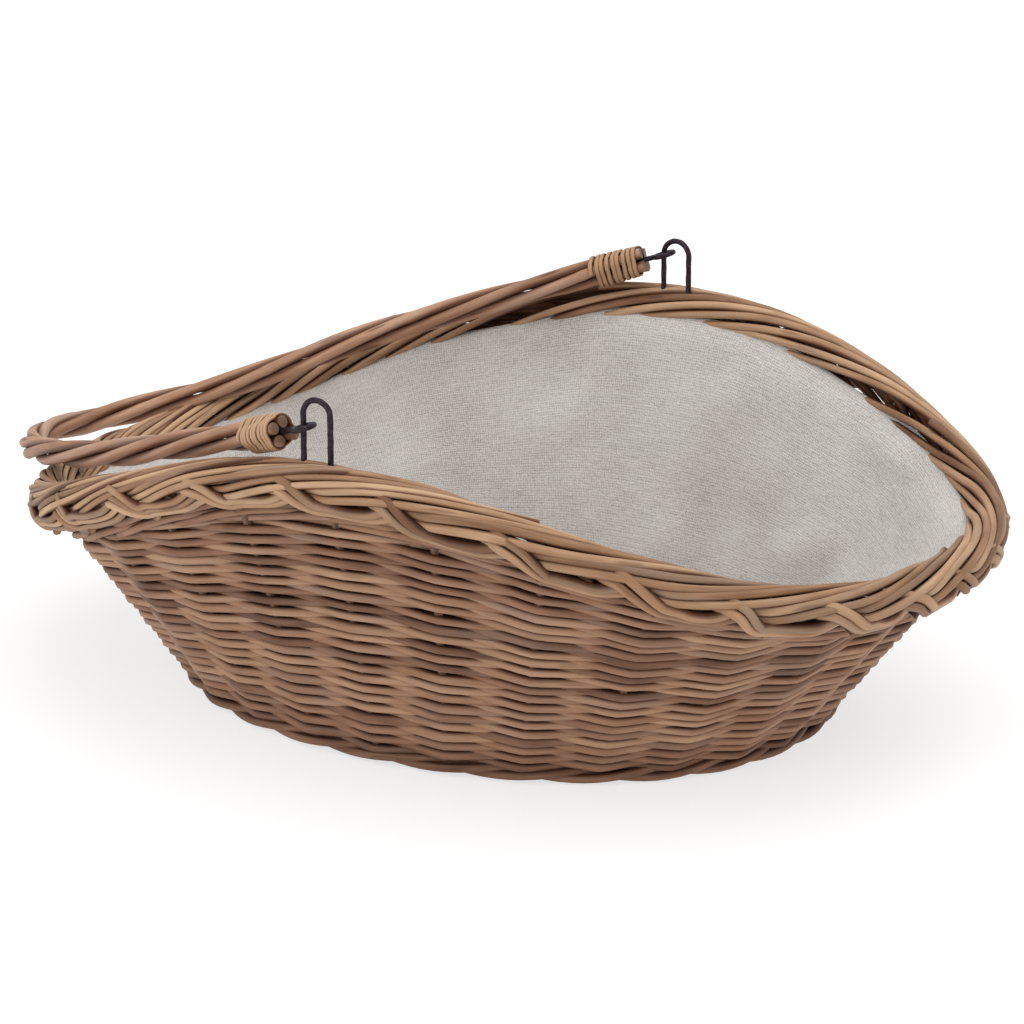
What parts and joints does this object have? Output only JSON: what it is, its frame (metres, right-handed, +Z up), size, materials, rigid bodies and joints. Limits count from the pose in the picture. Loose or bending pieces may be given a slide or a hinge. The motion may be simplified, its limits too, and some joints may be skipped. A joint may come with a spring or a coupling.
{
  "type": "wicker log basket",
  "caption": "Oval willow log basket with a flaring woven wall, a saddle-shaped plaited border, a linen liner and a folding twisted-rod handle on wire staples.",
  "frame": {"origin": "middle of the flat underside of the woven base, where it stands on the floor", "axes": "+Z up; +X along the long axis towards the higher end of the rim, away from the end the folded handle lies over; +Y across, towards the far handle staple"},
  "size_m": [0.6261, 0.4312, 0.2231],
  "materials": {
    "brown_willow": "satin, boiled reddish-brown willow",
    "golden_willow": "satin, golden tan willow",
    "handle_willow": "satin, thick pinkish tan willow",
    "peeled_stick": "satin, light willow sticks",
    "split_cane": "semi-gloss split cane",
    "linen": "plain-weave natural linen",
    "dark_wire": "dark annealed iron wire"
  },
  "bodies": {
    "basket": {"side_weave": "brown_willow", "foot_wale": "brown_willow", "base_weave": "brown_willow", "stake_01": "brown_willow", "stake_02": "brown_willow", "stake_03": "brown_willow", "stake_04": "brown_willow", "stake_05": "brown_willow", "stake_06": "brown_willow", "stake_07": "brown_willow", "stake_08": "brown_willow", "stake_09": "brown_willow", "stake_10": "brown_willow", "stake_11": "brown_willow", "stake_12": "brown_willow", "stake_13": "brown_willow", "stake_14": "brown_willow", "stake_15": "brown_willow", "stake_16": "brown_willow", "stake_17": "brown_willow", "stake_18": "brown_willow", "stake_19": "brown_willow", "stake_20": "brown_willow", "stake_21": "brown_willow", "stake_22": "brown_willow", "stake_23": "brown_willow", "stake_24": "brown_willow", "stake_25": "brown_willow", "stake_26": "brown_willow", "stake_27": "brown_willow", "stake_28": "brown_willow", "border": "golden_willow", "long_stick_1": "peeled_stick", "long_stick_2": "peeled_stick", "long_stick_3": "peeled_stick", "cross_stick_1": "peeled_stick", "cross_stick_2": "peeled_stick", "cross_stick_3": "peeled_stick", "cross_stick_4": "peeled_stick", "cross_stick_5": "peeled_stick", "liner": "linen", "staple_near": "dark_wire", "staple_far": "dark_wire"},
    "handle": {"handle_rod_1": "handle_willow", "handle_rod_2": "handle_willow", "handle_rod_3": "handle_willow", "handle_rod_4": "handle_willow", "binding_near": "split_cane", "binding_far": "split_cane", "eye_near": "dark_wire", "eye_far": "dark_wire"}
  },
  "joints": [
    {"name": "handle_swing", "type": "hinge", "parent": "basket", "child": "handle", "pos_m": [0, 0, 0.21], "axis": [0, 1, 0], "range_deg": [0, 210]}
  ]
}
